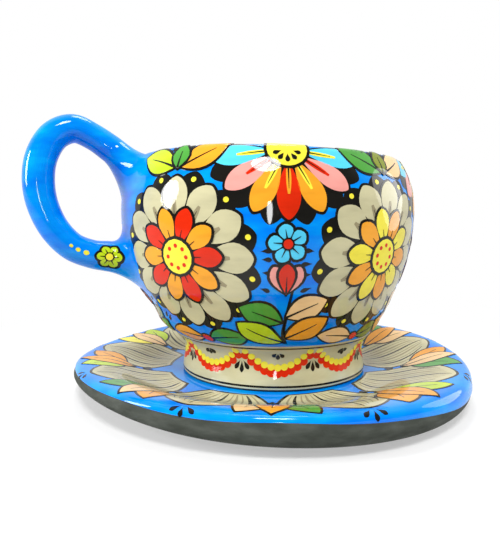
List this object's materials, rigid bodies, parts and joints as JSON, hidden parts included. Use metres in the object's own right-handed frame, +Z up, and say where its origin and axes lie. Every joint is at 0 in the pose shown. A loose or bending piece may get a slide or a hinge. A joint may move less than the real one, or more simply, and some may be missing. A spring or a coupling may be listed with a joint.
{
  "type": "clay cup and saucer",
  "caption": "Round-bellied painted clay cup with a loop handle that rises above the rim and a low foot ring, standing loose on a thick-edged saucer; holds a hot drink.",
  "frame": {"origin": "middle of the saucer's flat base, on the table", "axes": "+Z up along the axis of cup and saucer; the handle points along -X and lies in the XZ plane"},
  "size_m": [0.1632, 0.15, 0.0982],
  "materials": {
    "bare_clay": "bare grey clay, smoothed and matte",
    "saucer_colour": "glossy blue coat with painted flowers and leaves",
    "cup_colour": "glossy blue with painted flowers and leaves",
    "lining_glaze": "glossy blue glaze",
    "foot_colour": "glossy cream with painted scallops, bare clay below",
    "joint_slip": "fired slip, hidden in the joint",
    "handle_colour": "glossy plain blue"
  },
  "bodies": {
    "saucer": {"saucer_plate": "bare_clay", "saucer_coat": "saucer_colour"},
    "cup": {"cup_bowl": "cup_colour", "cup_lining": "lining_glaze", "cup_foot": "foot_colour", "foot_slip": "joint_slip", "handle_loop": "handle_colour", "handle_upper_joint": "handle_colour", "handle_lower_joint": "handle_colour"}
  },
  "joints": [
    {"name": "cup_lift", "type": "slide", "parent": "saucer", "child": "cup", "axis": [0, 0, 1], "range_m": [0, 0.12]}
  ]
}
